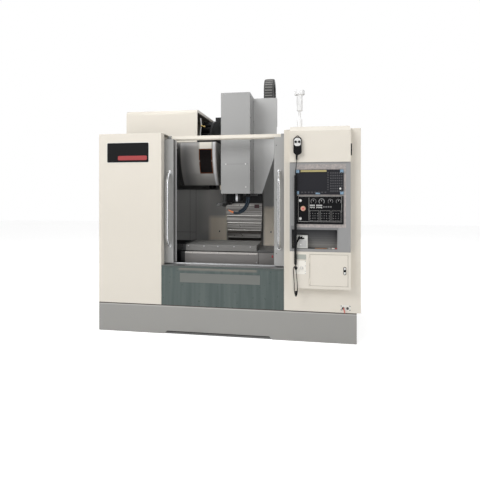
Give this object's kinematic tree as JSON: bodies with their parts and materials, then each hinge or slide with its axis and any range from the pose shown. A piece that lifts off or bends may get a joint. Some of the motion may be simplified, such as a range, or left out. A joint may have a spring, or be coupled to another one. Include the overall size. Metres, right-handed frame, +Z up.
{
  "type": "cnc machining center",
  "caption": "Vertical cnc machining center in a cream and grey sheet-metal enclosure with sliding doors, operator console, tool magazine and hand pendant.",
  "frame": {"origin": "on the floor, under the middle of the machine's width and depth", "axes": "+X to the right and +Y to the back as seen by the operator, +Z up"},
  "size_m": [2.6, 2.3, 2.7479],
  "materials": {
    "tray_grey": "satin",
    "cream_paint": "satin",
    "door_grey": "satin",
    "head_grey": "satin",
    "panel_grey": "matte",
    "casting_grey": "matte",
    "dark_steel": "satin",
    "ground_steel": "brushed",
    "polished_sill": "polished",
    "cast_table": "machined",
    "chrome_tube": "polished",
    "black_plastic": "matte",
    "black_panel": "satin",
    "red_plastic": "gloss",
    "white_plastic": "satin",
    "hose_blue": "satin",
    "cord_rubber": "matte",
    "tinted_glass": "clear",
    "motor_black": "satin",
    "pump_blue": "satin"
  },
  "bodies": {
    "frame": {"base_tray": "tray_grey", "levelling_feet": "dark_steel", "machine_bed": "casting_grey", "column": "casting_grey", "y_axis_drive": "ground_steel", "z_axis_drive": "ground_steel", "front_panel_left": "cream_paint", "front_panel_right": "cream_paint", "enclosure_panels": "cream_paint", "header_beam": "cream_paint", "sill_panel": "polished_sill", "door_sill": "ground_steel", "splash_guards": "dark_steel", "rear_splash_panels": "cream_paint", "console_box": "cream_paint", "operator_panel": "panel_grey", "display_unit": "panel_grey", "machine_panel": "black_panel", "socket_plates": "white_plastic", "signal_tower": "white_plastic", "electrical_cabinet": "cream_paint", "coolant_pump": "pump_blue", "magazine_cover": "cream_paint", "drum_cover": "cream_paint", "drum_window": "tinted_glass", "magazine_frame": "dark_steel", "z_cover_1": "ground_steel", "pendant": "white_plastic", "pendant_cord_coil": "cord_rubber", "pendant_cord": "cord_rubber", "pendant_plug": "cord_rubber"},
    "left_door": {"left_door": "door_grey", "left_handle": "chrome_tube"},
    "right_door": {"right_door": "door_grey", "right_handle": "chrome_tube"},
    "saddle": {"saddle": "casting_grey", "x_axis_drive": "ground_steel"},
    "table": {"worktable": "cast_table", "table_way_covers": "dark_steel"},
    "head": {"head_casting": "casting_grey", "head_front_cover": "head_grey", "head_side_cover": "head_grey", "spindle_motor": "motor_black", "coolant_hoses": "hose_blue", "z_cover_5": "ground_steel"},
    "spindle": {"spindle": "ground_steel"},
    "z_cover_2": {"z_cover_2": "ground_steel"},
    "z_cover_3": {"z_cover_3": "ground_steel"},
    "z_cover_4": {"z_cover_4": "ground_steel"},
    "chain": {"cable_chain": "black_plastic"},
    "magazine": {"magazine_disc": "black_plastic"},
    "change_pot": {"change_pot": "black_plastic"},
    "arm_lift": {"arm_shaft": "dark_steel"},
    "change_arm": {"change_arm": "dark_steel"},
    "emergency_stop": {"emergency_stop": "red_plastic"},
    "feed_knob": {"feed_knob": "black_plastic"},
    "spindle_knob": {"spindle_knob": "black_plastic"},
    "storage_door": {"storage_door": "cream_paint"},
    "cabinet_door": {"cabinet_door": "cream_paint"},
    "pendant_wheel": {"pendant_wheel": "black_plastic"}
  },
  "joints": [
    {"name": "left_door_slide", "type": "slide", "parent": "frame", "child": "left_door", "axis": [1, 0, 0], "range_m": [0, 0.511]},
    {"name": "right_door_slide", "type": "slide", "parent": "frame", "child": "right_door", "axis": [-1, 0, 0], "range_m": [0, 0.511]},
    {"name": "saddle_y", "type": "slide", "parent": "frame", "child": "saddle", "axis": [0, 1, 0], "range_m": [-0.055, 0.35]},
    {"name": "table_x", "type": "slide", "parent": "saddle", "child": "table", "axis": [1, 0, 0], "range_m": [-0.15, 0.45]},
    {"name": "head_z", "type": "slide", "parent": "frame", "child": "head", "axis": [0, 0, 1], "range_m": [-0.3, 0.2]},
    {"name": "spindle_turn", "type": "hinge", "parent": "head", "child": "spindle", "pos_m": [0.04, -0.36, 1.31], "axis": [0, 0, 1], "continuous": true},
    {"name": "z_cover_2_slide", "type": "slide", "parent": "frame", "child": "z_cover_2", "axis": [0, 0, 1], "range_m": [-0.075, 0.05]},
    {"name": "z_cover_3_slide", "type": "slide", "parent": "frame", "child": "z_cover_3", "axis": [0, 0, 1], "range_m": [-0.15, 0.1]},
    {"name": "z_cover_4_slide", "type": "slide", "parent": "frame", "child": "z_cover_4", "axis": [0, 0, 1], "range_m": [-0.225, 0.15]},
    {"name": "chain_slide", "type": "slide", "parent": "frame", "child": "chain", "axis": [0, 0, 1], "range_m": [-0.15, 0.1]},
    {"name": "magazine_turn", "type": "hinge", "parent": "frame", "child": "magazine", "pos_m": [-0.3, 0.04, 1.88], "axis": [1, 0, 0], "continuous": true},
    {"name": "change_pot_flip", "type": "hinge", "parent": "magazine", "child": "change_pot", "pos_m": [-0.352, 0.04, 1.53], "axis": [0, 1, 0], "range_deg": [0, 90]},
    {"name": "arm_lift", "type": "slide", "parent": "frame", "child": "arm_lift", "axis": [0, 0, 1], "range_m": [0, 0.13]},
    {"name": "arm_turn", "type": "hinge", "parent": "arm_lift", "child": "change_arm", "pos_m": [-0.156, -0.16, 1.275], "axis": [0, 0, 1], "range_deg": [0, 224.4]},
    {"name": "emergency_stop_push", "type": "slide", "parent": "frame", "child": "emergency_stop", "axis": [0, 1, 0], "range_m": [0, 0.005], "stiffness_N_per_m": 1500},
    {"name": "feed_knob_turn", "type": "hinge", "parent": "frame", "child": "feed_knob", "pos_m": [0.94, -1.108, 1.325], "axis": [0, 1, 0], "range_deg": [0, 300]},
    {"name": "spindle_knob_turn", "type": "hinge", "parent": "frame", "child": "spindle_knob", "pos_m": [1.021, -1.108, 1.325], "axis": [0, 1, 0], "range_deg": [0, 300]},
    {"name": "storage_door_hinge", "type": "hinge", "parent": "frame", "child": "storage_door", "pos_m": [0.831, -1.105, 0.696], "axis": [0, 0, -1], "range_deg": [0, 95]},
    {"name": "cabinet_door_hinge", "type": "hinge", "parent": "frame", "child": "cabinet_door", "pos_m": [-0.429, 1.11, 1.15], "axis": [0, 0, 1], "range_deg": [0, 120]},
    {"name": "pendant_wheel_turn", "type": "hinge", "parent": "frame", "child": "pendant_wheel", "pos_m": [0.723, -1.14, 1.788], "axis": [0, 1, 0], "continuous": true}
  ],
  "couplings": [
    {"joint": "z_cover_2_slide", "follows": "head_z", "ratio": 0.25},
    {"joint": "z_cover_3_slide", "follows": "head_z", "ratio": 0.5},
    {"joint": "z_cover_4_slide", "follows": "head_z", "ratio": 0.75},
    {"joint": "chain_slide", "follows": "head_z", "ratio": 0.5}
  ]
}
